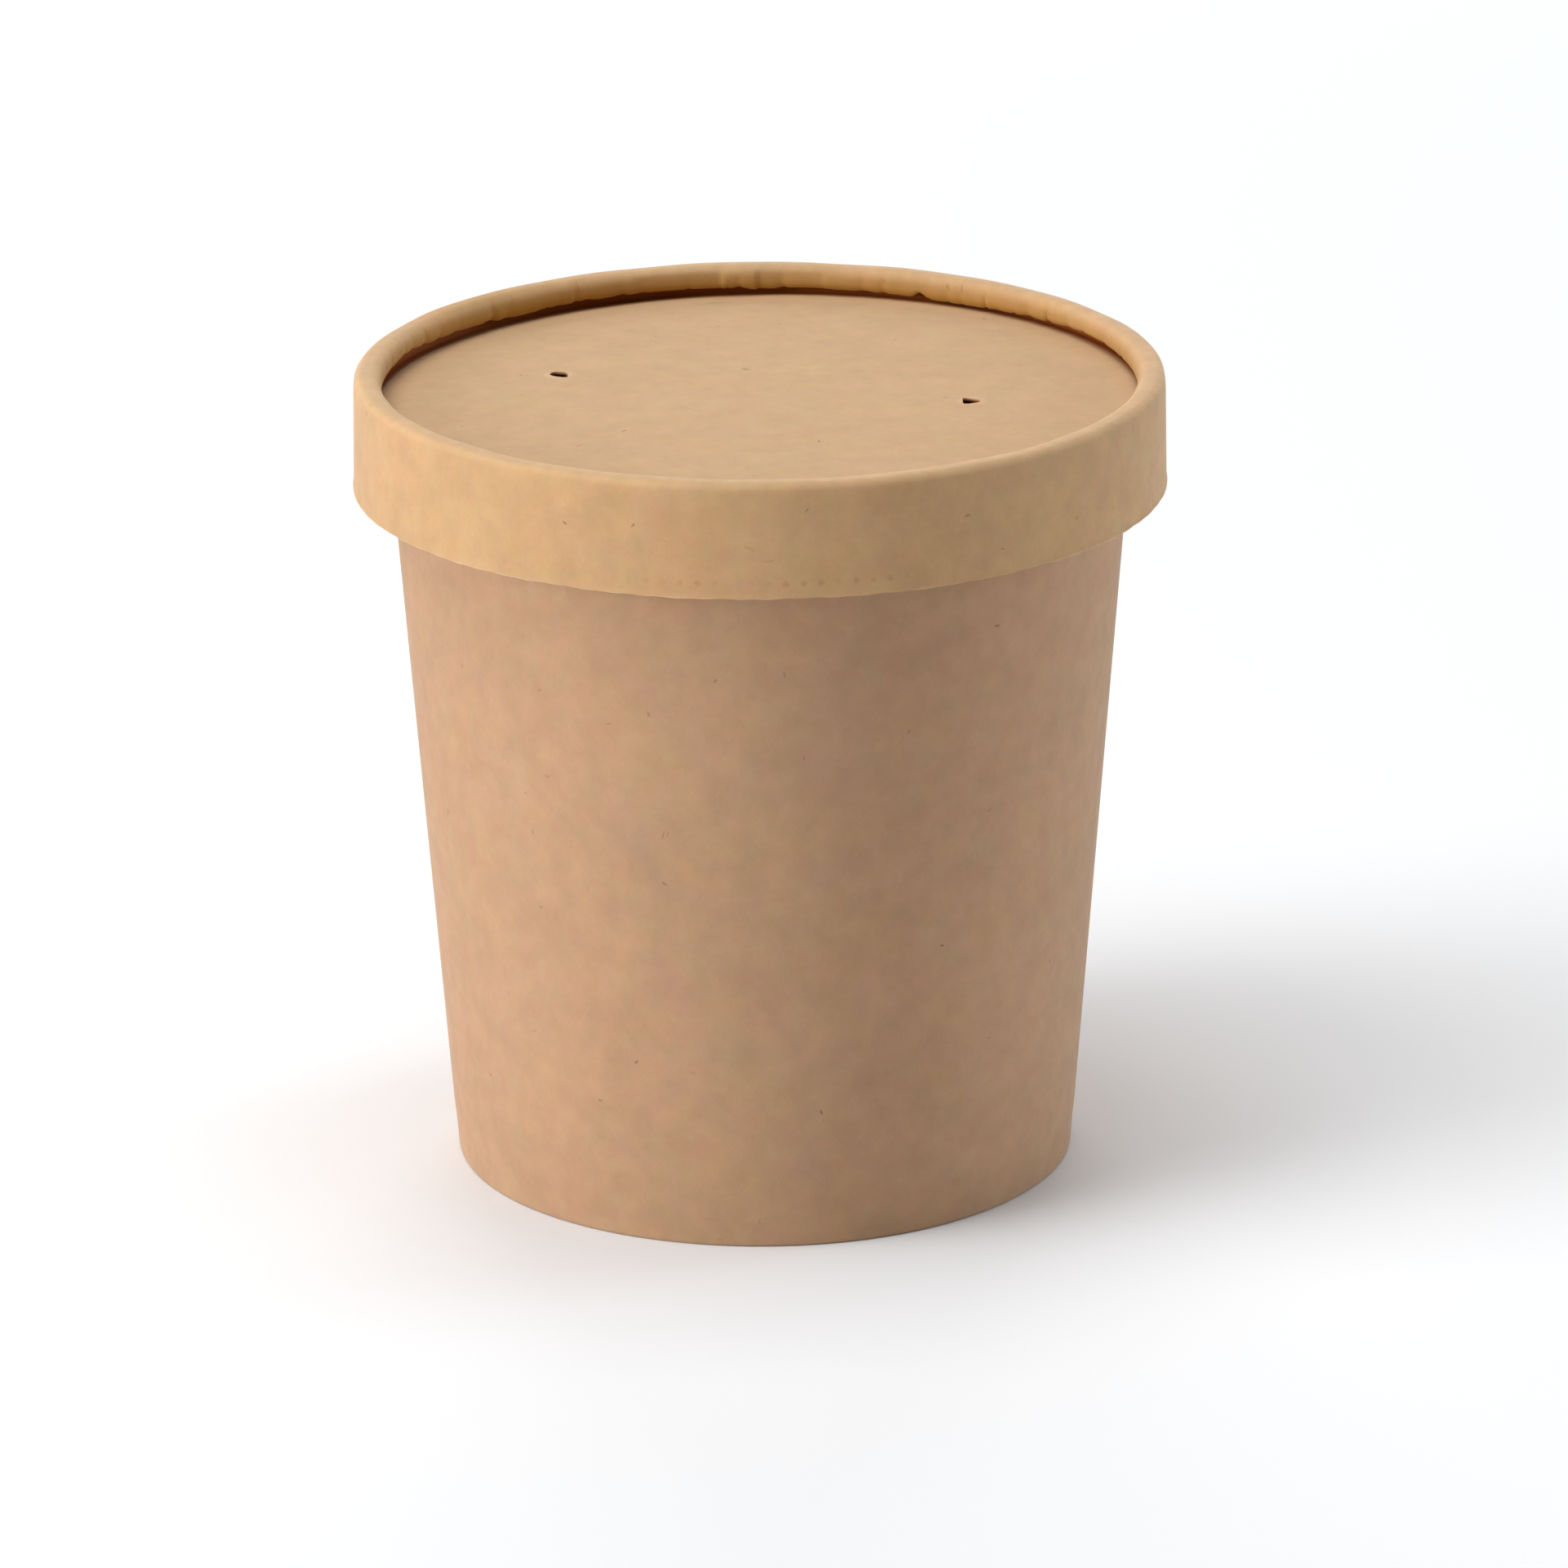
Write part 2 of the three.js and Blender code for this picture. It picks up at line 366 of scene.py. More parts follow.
tub_wall = raise_sheet("tub_wall", wall_rings, TUB_SIDES)
point_faces(tub_wall, wall_outwards)

# %% [markdown]
# The lap stands at the back, a little to one side. The top layer ends in a raw edge, a step of one board,
# and slopes down again where the layer below it ends.

# %% The lap up the back
wall_lap_angle = 95.1
wall_lap_width, wall_lap_fade = 9.5, 6.5  # degrees of full height, and of the slope after it
wall_lap_height = 0.4


def wall_lap_share(radius, height):
    """The lap stands up on the outside and is pressed flat in the fold of the foot."""
    return slope(height, 0.5, 2.0) if radius > foot_radius - 0.2 else 0.0


step_cut(tub_wall, wall_lap_angle)
wall_lap = lap_rule(wall_lap_angle, wall_lap_width, wall_lap_fade, wall_lap_share)
print("lap covers", press(tub_wall, wall_lap_height, wall_lap), "points")

# %% [markdown]
# The wall is also not a perfect cone: winding and stacking leave it with long, shallow waves that are felt
# rather than seen. The fold that it stands on is rubbed paler.

# %% The wall's slight waves, its thickness and its rubbed foot
wave_depth = 0.12
wave_low, wave_high = 6, 92  # the foot and the bead stay round
wave_twist = 0.9  # degrees that a wave turns in one millimetre of height
random.seed(11)
waves = [(count, random.uniform(0, 360), random.uniform(0.4, 1.0)) for count in (2, 3, 5, 8)]


def wall_wave(angle, radius, height):
    if height < wave_low or height > wave_high or radius < foot_radius:
        return 0.0
    turn = wave_twist * height
    total = sum(size * math.sin(math.radians(count * angle + phase + turn)) for count, phase, size in waves)
    return 0.5 + total / 6


def wall_rubbed(angle, radius, height):
    """The fold that the tub stands on is worn a little paler."""
    return 0.15 * (1 - slope(height, 0.1, 0.9)) * slope(radius, foot_radius - 0.7, foot_radius - 0.1)


press(tub_wall, wave_depth, wall_wave)
thicken(tub_wall)
soften(tub_wall)
paint(tub_wall, "wear_and_highlight", wall_rubbed)

# %% [markdown]
# ## The base
#
# The base is a disc with its edge turned down inside the foot, so the tub stands on the folded edge of
# the wall and not on the base. It is seen only from below, where the fold of the turn is a soft ring.

# %% Base of the tub
base_height = 6.0
base_turn = 0.6
skirt_inner = 38.1
skirt_bottom = 3.4
base_middle = (2.0, base_height)  # the first ring, closed by a fan of faces
base_bulge, bulge_radius = 0.15, 34
turn_centre = (skirt_inner - base_turn, base_height - base_turn)
base_rings = [base_middle]
base_rings += stretch(base_middle, (turn_centre[0], base_height), 12)
base_rings += arc(turn_centre, base_turn, 90, 0, 6)[1:]
base_rings += stretch((skirt_inner, turn_centre[1]), (skirt_inner, skirt_bottom), 2)


def base_downwards(place):
    return Vector((0, 0, -1)) if place.xy.length < 37 * MM else Vector()


def base_bulges(angle, radius, height):
    return max(0.0, 1 - (radius / bulge_radius) ** 2)


def base_rubbed(angle, radius, height):
    return 0.6 * slope(radius, 37.3, 37.9) * slope(height, 5.4, 5.8)


tub_base = raise_sheet("tub_base", base_rings, TUB_SIDES, fill="TRIFAN")
point_faces(tub_base, base_downwards)
press(tub_base, base_bulge, base_bulges)
thicken(tub_base)
soften(tub_base)
paint(tub_base, "wear_and_highlight", base_rubbed)

# %% [markdown]
# ## The lid's panel
#
# The panel is a disc whose edge is turned up inside the rolled strip. It is crowned by less than a
# millimetre. Its top face is modelled from the middle outwards and up the turned edge.

# %% Panel of the lid
PANEL_SIDES = 360
panel_edge_top = 98.45
panel_crown = 0.8
crown_radius = 47.0
first_ring, ring_spacing = 1.5, 1.3
flange_turn = 1.0 - BOARD
flange_inner = flange_radius - BOARD
panel_turn = (flange_inner - flange_turn, panel_edge_top + flange_turn)


def crown(radius):
    return panel_crown * max(0.0, 1 - (radius / crown_radius) ** 2)


def panel_upwards(place):
    return Vector((0, 0, 1)) if place.xy.length < crown_radius * MM else Vector()


ring_count = int((panel_turn[0] - first_ring) / ring_spacing) + 1
panel_radii = [first_ring + ring_spacing * step for step in range(ring_count)]
panel_rings = [(radius, panel_edge_top + crown(radius)) for radius in panel_radii]
panel_rings += arc(panel_turn, flange_turn, 270, 360, 6)
panel_rings += stretch((flange_inner, panel_turn[1]), (flange_inner, flange_top), 3)

lid_panel = raise_sheet("lid_panel", panel_rings, PANEL_SIDES, fill="TRIFAN")
point_faces(lid_panel, panel_upwards)

# %% [markdown]
# Round each steam vent the punch has left a slightly raised rim, and near the middle there is one small
# nick. The mesh is refined only there, so that the marks come out round.

# %% The marks left by the punch
vent_places = [(-25.2, 8.9), (26.4, -5.2)]
vent_rim, rim_reach = 0.1, 2.8  # how high the paper is raised round a vent, and how far out
nick_place = (-1.4, 9.2)
nick_depth, nick_reach = 0.2, 0.9


def near(place, reach):
    """A rule that is 1 at a place on the panel and fades to nothing at reach millimetres."""

    def rule(angle, radius, _height):
        x = radius * math.cos(math.radians(angle)) - place[0]
        y = radius * math.sin(math.radians(angle)) - place[1]
        return max(0.0, 1 - math.hypot(x, y) / reach)

    return rule


def raised(share):
    """A raised rim is steeper near the hole."""
    return share**1.5


def subdivide_near(piece, place, reach, cuts):
    choose_faces(piece, lambda centre: math.hypot(centre.x - place[0], centre.y - place[1]) < reach)
    bpy.ops.mesh.subdivide(number_cuts=cuts)
    bpy.ops.object.mode_set(mode="OBJECT")
    print(piece.name, "refined round", place, "to", len(piece.data.vertices), "points")


for place in vent_places:
    subdivide_near(lid_panel, place, 4.0, 4)
    press(lid_panel, vent_rim, lambda *spot, rule=near(place, rim_reach): raised(rule(*spot)))
subdivide_near(lid_panel, nick_place, 2.0, 4)
press(lid_panel, -nick_depth, near(nick_place, nick_reach))

# %% [markdown]
# The panel does not lie quite level: its left back edge is pressed a little lower than the right.

# %% The panel's tilt
panel_drop = 0.8
lowest_angle = 162  # where the panel's edge lies lowest, at the left


def panel_sag(angle, radius, height):
    """Most at the left, nothing at the right."""
    facing = 0.5 + 0.5 * math.cos(math.radians(turn_between(angle, lowest_angle)))
    return facing**2 * min(1.0, radius / 46) ** 2


press(lid_panel, -panel_drop, panel_sag, direction="Z")
thicken(lid_panel)

# %% [markdown]
# The vents are punched right through. The pin tears the paper, so each hole has an outline of its own, drawn
# here as a ring of points round its middle. A short rod is fitted to the outline, and a Boolean takes it
# from the panel.

# %% Steam vents
ROD_LENGTH = 4.0


def vent_cutter(place, outline):
    """A rod through the panel with that outline: points round its middle, in millimetres, anticlockwise."""
    deselect()
    height = panel_edge_top + crown(math.hypot(*place))
    middle = [part * MM for part in (*place, height)]
    bpy.ops.mesh.primitive_cylinder_add(vertices=len(outline), radius=MM, depth=ROD_LENGTH * MM, location=middle)
    cutter = bpy.context.object
    for vertex in cutter.data.vertices:
        corner = round(math.degrees(math.atan2(vertex.co.y, vertex.co.x)) / 360 * len(outline)) % len(outline)
        vertex.co.x, vertex.co.y = outline[corner][0] * MM, outline[corner][1] * MM
    bpy.ops.object.mode_set(mode="EDIT")
    bpy.ops.mesh.select_all(action="SELECT")
    bpy.ops.mesh.normals_make_consistent(inside=False)
    bpy.ops.object.mode_set(mode="OBJECT")
    return cutter


def punch(piece, cutter):
    cut = piece.modifiers.new("punch", "BOOLEAN")
    cut.operation = "DIFFERENCE"
    cut.solver = "MANIFOLD"
    cut.object = cutter
    apply_modifiers(piece)
    bpy.data.objects.remove(cutter)


left_outline = [(1.4, -0.7), (1.2, 0.2), (0.8, 0.95), (0.35, 1.2), (-0.15, 1.3), (-0.6, 1.25), (-0.95, 1.0)]
left_outline += [(-1.6, 0.6), (-1.15, 0.1), (-0.8, -0.55), (-0.35, -1.0), (0.15, -1.3), (0.65, -1.45), (1.15, -1.35)]
right_outline = [(2.1, 0.0), (0.95, 0.3), (0.6, 0.55), (0.2, 0.8), (-0.3, 1.05), (-0.8, 1.25), (-1.2, 1.2)]
right_outline += [(-1.3, 0.2), (-1.25, -0.8), (-1.1, -1.25), (-0.6, -1.3), (0.0, -1.15), (0.5, -0.8), (0.95, -0.35)]
for place, outline in zip(vent_places, (left_outline, right_outline)):
    punch(lid_panel, vent_cutter(place, outline))
soften(lid_panel, 0.05)

# %% [markdown]
# Two values are stored on the panel's points for its paper to read. Round each vent the paper is painted paler,
# a painted highlight on the pressed rim. The walls of the vents are seen against the dark inside of the tub, so they
# are painted nearly black as painted shade, and the corner that the roll stands over, where hardly any light
# reaches, is painted darker and browner as painted shade, with a faint painted shade over the panel's last five
# millimetres.


# %% Painted highlight round the vents and painted shade on the panel
def vent_distance(angle, radius):
    x, y = (radius * turn(math.radians(angle)) for turn in (math.cos, math.sin))
    return min(math.hypot(x - place[0], y - place[1]) for place in vent_places)


largest_vent = 2.1  # no outline reaches further from its middle


def vent_rim_highlight(angle, radius, height):
    # painted highlight: the paper round each vent's pressed rim is painted paler
    return 0.5 * (1 - slope(vent_distance(angle, radius), 1.5, largest_vent))


def panel_painted_shade(angle, radius, height):
    """Painted shade: the walls of the vents, known by lying below the panel's top face, the corner under the roll,
    and a faint fall towards it.
    """
    vent = vent_distance(angle, radius)
    rim = vent_rim * raised(max(0.0, 1 - vent / rim_reach))
    top = panel_edge_top + crown(radius) + rim - panel_drop * panel_sag(angle, radius, height)
    hole = slope(top - height, 0.0, 0.04) if vent < largest_vent else 0.0
    # painted shade in the corner under the roll, and faint painted shade over the last five millimetres towards it
    corner = 0.7 * slope(radius, crown_radius, crown_radius + 0.5)
    return max(corner, 0.12 * slope(radius, 42.0, crown_radius) ** 2, hole)


paint(lid_panel, "wear_and_highlight", vent_rim_highlight)
paint(lid_panel, "dark", panel_painted_shade)

# %% [markdown]
# ## The lid's band
#
# The band is a strip wound round the panel's turned-up edge and lapped at the back. Its top edge is rolled
# inwards and down until its raw edge comes to lie just over the panel, so that the rim is a soft hollow
# roll. The outer face of the board is modelled, from the cut edge below to the raw edge inside the rim.

# %% Band of the lid
BAND_SIDES = 720
band_radius = 50.5
lip_height = 0.4  # the lowest part of the band is pressed outwards by the cutter
lip_in = 0.1
outer_shoulder = 1.2
inner_shoulder = 1.5
roll_inner = 47.0
roll_edge_height = 99.05
under_turn = 1.1  # the raw edge is tucked under in a small curve
under_rise = 0.9  # from the raw edge up to the middle of that curve

outer_centre = (band_radius - outer_shoulder, band_top - outer_shoulder)
inner_centre = (roll_inner + inner_shoulder, band_top - inner_shoulder)
lip_start = (band_bottom_radius - lip_in, band_bottom + lip_height)
under_centre = (roll_inner + under_turn, roll_edge_height + under_rise)
band_rings = [(band_bottom_radius, band_bottom), (band_bottom_radius, band_bottom + 0.15), lip_start]
band_rings += stretch(lip_start, (band_radius, outer_centre[1]), 22)
band_rings += arc(outer_centre, outer_shoulder, 0, 90, 7)[1:]
band_rings += arc(inner_centre, inner_shoulder, 90, 180, 8)
band_rings += stretch((roll_inner, inner_centre[1]), (roll_inner, under_centre[1]), 3)
band_rings += arc(under_centre, under_turn, 180, 235, 7)[1:]


def strip_outwards(place):
    return Vector((place.x, place.y, 0)) if place.xy.length > 50.2 * MM else Vector()


lid_strip = raise_sheet("lid_strip", band_rings, BAND_SIDES)
point_faces(lid_strip, strip_outwards)

# %% [markdown]
# The strip's ends lap at the back. Rolling has pressed the lap flat on the crest, so its step is felt on the
# outside and seen only as two fine lines down the inner leg. The leg itself is pressed a little flatter for
# some thirty degrees at the back.

# %% Lap of the band
band_lap_angle = 90.0
band_lap_width, band_lap_fade = 5.7, 0.25
band_lap_height = 0.3
flat_depth = 0.14


def leg_share(radius, height):
    """0 at the crest of the roll, 1 at the raw edge inside."""
    return slope(band_top - height, 0.0, band_top - roll_edge_height) if radius < inner_centre[0] else 0.0


def lap_share(radius, height):
    if radius < inner_centre[0]:
        return 0.8 * slope(leg_share(radius, height), 0.1, 0.4)
    return 1 - slope(height, band_top - 2.4, band_top - 1.0)


def flat_part(angle, radius, height):
    return slope(angle, 79.4, 79.9) * (1 - slope(angle, 109.2, 110.6)) * slope(leg_share(radius, height), 0.2, 0.36)


step_cut(lid_strip, band_lap_angle)
band_lap = lap_rule(band_lap_angle, band_lap_width, band_lap_fade, lap_share)
print("lap covers", press(lid_strip, band_lap_height, band_lap), "points")
print("pressed flat:", press(lid_strip, -flat_depth, flat_part), "points")

# %% [markdown]
# Rolling a strip to a smaller circle leaves too much paper inside, and the paper takes it up in small
# pleats. They run down the inner leg of the roll, no two alike. The deepest ones at the back are placed one
# by one, and smaller ones follow all the way round. Here and there the raw edge has torn or lifted.

# %% Places of the pleats, tears and hanging parts
# angle, half width in degrees, depth as a share of the deepest
pleats = [(153.5, 1.0, 0.8), (136.2, 0.8, 0.9), (119.8, 0.5, 1.0), (70.1, 0.7, 0.5), (59.1, 0.6, 0.35)]
pleats += [(56.6, 0.5, 0.3), (52.0, 0.3, 0.6), (43.5, 1.6, 0.7), (38.9, 0.6, 1.0), (34.0, 1.2, 0.6)]
# angle, half width in degrees, share of the greatest lift
lifts = [(160.0, 9.0, 0.75), (137.2, 0.7, 0.35), (125.0, 0.6, 0.25), (118.0, 1.6, 0.35), (112.0, 3.0, 0.15)]
lifts += [(95.0, 0.8, 0.35), (93.0, 1.8, 0.4), (64.0, 1.2, 1.0), (50.0, 1.2, 0.15), (27.0, 16.0, 0.75)]
# and where it hangs lower than elsewhere
droops = [(131.0, 10.0, 1.0), (88.0, 4.0, 0.7), (58.0, 12.0, 0.8)]

placed_pleats = list(pleats)
random.seed(5)
angle = 0.0
while angle < 357:
    if all(abs(turn_between(angle, place)) > 2.5 for place, _, _ in placed_pleats):
        pleats.append((angle, random.uniform(0.4, 1.2), random.uniform(0.1, 0.5)))
        lifts.append((angle + random.uniform(-1, 1), random.uniform(0.3, 0.8), random.uniform(0.05, 0.25)))
    angle += random.uniform(3.0, 8.0)
print(len(pleats), "pleats round the roll,", len(placed_pleats), "of them placed")


# %% [markdown]
# Each kind of fold has a rule that says where along the leg it is strongest. Pleats go in along the normal,
# and a torn or hanging edge moves up or down. The crest and the cut edge below get slow waves. Only then
# does the strip get its thickness, so that both of its faces follow.


# %% Pressing the pleats and the edges of the band
def marks(angle, places):
    return sum(size * bump_at(turn_between(angle, at), 0, width) for at, width, size in places)


def pleat_rule(angle, radius, height):
    share = slope(leg_share(radius, height), 0.08, 0.6)
    return share * min(1.0, marks(angle, pleats)) if share > 0 else 0.0


def lift_rule(angle, radius, height):
    share = leg_share(radius, height) ** 3
    return share * min(1.0, marks(angle, lifts)) if share > 0.001 else 0.0


def droop_rule(angle, radius, height):
    share = leg_share(radius, height) ** 3
    return share * marks(angle, droops) if share > 0.001 else 0.0


def wander(angle, counts, offset):
    """A wave from 0 to 1 that is the sum of three, each with its own count round the lid."""
    return 0.5 + sum(math.sin(math.radians(count * angle + count**2 * offset)) for count in counts) / 6


def crest_wave(angle, radius, height):
    """The crest is a little lower in some places than in others."""
    return wander(angle, (9, 14, 23), 37) * slope(height, band_top - 2.0, band_top - 0.8)


def lower_edge(angle, radius, height):
    """The strip was not cut perfectly straight."""
    return wander(angle, (11, 31, 83), 53) * (1 - slope(height, band_bottom, band_bottom + 0.5))


pleat_depth = 0.3
edge_lift, edge_droop = 0.65, 0.3
crest_dip = 0.15
cut_wander = 0.2
for depth, rule, direction in (
    (-pleat_depth, pleat_rule, "NORMAL"),
    (edge_lift, lift_rule, "Z"),
    (-edge_droop, droop_rule, "Z"),
    (-crest_dip, crest_wave, "NORMAL"),
    (cut_wander, lower_edge, "Z"),
):
    print(rule.__name__, "moves", press(lid_strip, depth, rule, direction), "points")
thicken(lid_strip)
soften(lid_strip)

# %% [markdown]
# The cut edge of the strip is painted paler, and its crest paler as a painted highlight with some wear. The leg
# inside the roll is painted darker and browner towards its raw edge, painted shade where least light comes, and at
# the left back the roll is painted darker still, as painted shade.


# %% Paler edges, painted highlight and painted shade on the band
def band_pale_edge_and_highlight(angle, radius, height):
    # the lowest edge is painted paler, and the crest gets a painted highlight with some wear
    lip = 1 - slope(height, band_bottom + 0.08, band_bottom + 0.2)
    crest = 0.35 * slope(height, band_top - 1.0, band_top - 0.3)
    return max(lip, crest)


def band_painted_shade(angle, radius, height):
    """Painted shade: the leg darker and browner towards its raw edge, and the roll darker than elsewhere at the left
    back.
    """
    # painted shade, deepest at the left back
    deeper_shade = bump_at(turn_between(angle, 138), 0, 32)
    leg = (0.6 + 0.15 * deeper_shade) * leg_share(radius, height) ** 0.8
    return max(leg, 0.3 * deeper_shade * slope(height, band_top - 1.5, band_top - 0.3))


paint(lid_strip, "wear_and_highlight", band_pale_edge_and_highlight)
paint(lid_strip, "dark", band_painted_shade)

# %% [markdown]
# ## Paper
#
# Kraft board is brown wood pulp: cloudy where the fibres lie thicker, finely grained, and flecked with
# single dark and light fibres. A pattern that is built from noise on the object's own coordinates follows
# the piece everywhere, with no seam and no picture. The wall's pattern is unrolled first, so that its
# fibres lie in the board and turn with it round the tub.
#
# The paper is built in three steps: a small helper that adds and joins shader nodes, the marks that the
# pulp leaves, and the paper itself.


# %% Colours, and a helper that joins shader nodes
def srgb(red, green, blue):
    """A colour as it looks on a screen, 0 to 255, as the light values that a shader takes."""

    def channel(value):
        value /= 255
        return value / 12.92 if value <= 0.04045 else ((value + 0.055) / 1.055) ** 2.4

    return (channel(red), channel(green), channel(blue), 1.0)


def feed(tree, value, socket):
    """Joins a value to a socket, or sets the socket where the value is a plain number or colour."""
    if isinstance(value, bpy.types.NodeSocket):
        tree.links.new(value, socket)
    else:
        socket.default_value = value


class Nodes:
    """Adds nodes to a material and joins them, left to right."""

    def __init__(self, material):
        self.tree = material.node_tree

    def add(self, kind, values=(), **settings):
        node = self.tree.nodes.new(kind)
        for name, value in settings.items():
            setattr(node, name, value)
        for socket, value in dict(values).items():
            feed(self.tree, value, node.inputs[socket])
        return node

    def math(self, operation, first, second=0.0):
        return self.add("ShaderNodeMath", {0: first, 1: second}, operation=operation).outputs[0]

    def noise(self, vector, scale, detail=2.0, roughness=0.5):
        values = {"Vector": vector, "Scale": scale, "Detail": detail, "Roughness": roughness}
        return self.add("ShaderNodeTexNoise", values).outputs["Fac"]

    def ramp(self, value, low, high, out_low=0.0, out_high=1.0):
        values = {"Value": value, "From Min": low, "From Max": high, "To Min": out_low, "To Max": out_high}
        return self.add("ShaderNodeMapRange", values, interpolation_type="SMOOTHSTEP").outputs[0]

    def mix(self, share, first, second, blend="MIX"):
        node = self.add("ShaderNodeMix", data_type="RGBA", blend_type=blend)
        for socket, value in ((0, share), (6, first), (7, second)):
            feed(self.tree, value, node.inputs[socket])
        return node.outputs[2]


# %% [markdown]
# The pulp's marks. A tint lets the hue wander. Unrolled coordinates lay a round piece flat, and bending
# them a little makes straight marks crooked. Fibres are stretched cells of a Voronoi pattern, of which only
# a few are kept, and a stroke is a single mark at a chosen place.


# %% The marks of the pulp
BLUE_WANDERS_MORE = 1.35
CELL_SHAPE = 0.45  # a fibre's cell is this wide for its length
FIBRE_ROOM = 2.2  # a cell is this much longer than the half fibre in it


class Pulp(Nodes):
    """The marks that a sheet of pulp can carry."""

    def tint(self, vector, scale, detail, strength):
        """A factor for each colour channel, near 1, that wanders over the paper: pinker here, greener there."""
        values = {"Vector": vector, "Scale": scale, "Detail": detail}
        clouds = self.add("ShaderNodeTexNoise", values).outputs["Color"]
        strengths = (strength, strength, strength * BLUE_WANDERS_MORE)
        values = {0: clouds, 1: strengths, 2: [1 - part / 2 for part in strengths]}
        return self.add("ShaderNodeVectorMath", values, operation="MULTIPLY_ADD").outputs[0]

    def unrolled(self, radius):
        """Object coordinates laid flat: way round the tub, way up the board (height less radius), radius."""
        place = self.add("ShaderNodeTexCoord").outputs["Object"]
        parts = self.add("ShaderNodeSeparateXYZ", {0: place})
        front = self.math("MULTIPLY", parts.outputs["Y"], -1.0)
        around = self.math("MULTIPLY", self.math("ARCTAN2", parts.outputs["X"], front), radius)
        level = self.add("ShaderNodeVectorMath", {0: place, 1: (1, 1, 0)}, operation="MULTIPLY").outputs[0]
        distance = self.add("ShaderNodeVectorMath", {0: level}, operation="LENGTH").outputs["Value"]
        up = self.math("SUBTRACT", parts.outputs["Z"], distance)
        return self.add("ShaderNodeCombineXYZ", {"X": around, "Y": up, "Z": distance}).outputs[0]

    def bent(self, vector, scale, reach):
        """The same coordinates, pushed about a little, so that straight marks come out crooked."""
        wobble = self.add("ShaderNodeTexNoise", {"Vector": vector, "Scale": scale, "Detail": 1.0}).outputs["Color"]
        values = {0: wobble, 1: (reach, reach, 0), 2: vector}
        return self.add("ShaderNodeVectorMath", values, operation="MULTIPLY_ADD").outputs[0]

    def fibres(self, vector, turn, length, width, share):
        """Single fibres lying one way: stretched cells, of which only a few are kept."""
        turned = self.add("ShaderNodeMapping", {"Vector": vector, "Rotation": (0, 0, turn)}).outputs[0]
        scale = (1 / length, 1 / (length * CELL_SHAPE), 1 / length)
        cells = self.add("ShaderNodeMapping", {"Vector": turned, "Scale": scale}).outputs[0]
        voronoi = self.add("ShaderNodeTexVoronoi", {"Vector": cells, "Scale": 1.0}, voronoi_dimensions="2D")
        chance = self.add("ShaderNodeSeparateColor", {0: voronoi.outputs["Color"]})
        kept = self.math("GREATER_THAN", chance.outputs[0], 1 - share)
        offset = self.add("ShaderNodeVectorMath", {0: cells, 1: voronoi.outputs["Position"]}, operation="SUBTRACT")
        parts = self.add("ShaderNodeSeparateXYZ", {0: offset.outputs[0]})
        along = self.math("MULTIPLY", parts.outputs["X"], FIBRE_ROOM)
        across = self.math("MULTIPLY", parts.outputs["Y"], CELL_SHAPE * length / width)
        reach = self.math("ADD", self.math("MULTIPLY", along, along), self.math("MULTIPLY", across, across))
        strength = self.ramp(chance.outputs[1], 0.0, 1.0, 0.35, 1.0)
        return self.math("MULTIPLY", self.math("MULTIPLY", kept, strength), self.ramp(reach, 1.0, 0.3))

    def stroke(self, vector, place, lean, length, width):
        """One fleck at a place on the flat paper, in millimetres and radians."""
        values = {"Vector": vector, "Location": [part * MM for part in place], "Rotation": (0, 0, lean)}
        values["Scale"] = (length * MM / 2, width * MM / 2, 1.5 * MM)
        local = self.add("ShaderNodeMapping", values, vector_type="TEXTURE").outputs[0]
        distance = self.add("ShaderNodeVectorMath", {0: local}, operation="LENGTH").outputs["Value"]
        return self.ramp(distance, 1.25, 0.45)


# %% [markdown]
# The sheet is built up from the large to the small: clouds, patches, hue and grain, then fibres and
# specks, then dents, pale places of wear and painted highlight, and painted shade in corners, dents and pleats.
# Only the grain and the dents are raised. Uncoated board has hardly any shine, but a little nap, which the sheen
# gives.

# %% Kraft paper
# painted shade for the corner under the roll, the leg inside the roll and the vents' walls; the pale of wear and
# painted highlight
PAINTED_CORNER_SHADE = srgb(162, 80, 0)
PAINTED_LEG_SHADE = srgb(165, 115, 0)
PALE_OF_WEAR_AND_HIGHLIGHT = srgb(226, 196, 156)
PAINTED_HOLE_SHADE = srgb(24, 12, 6)


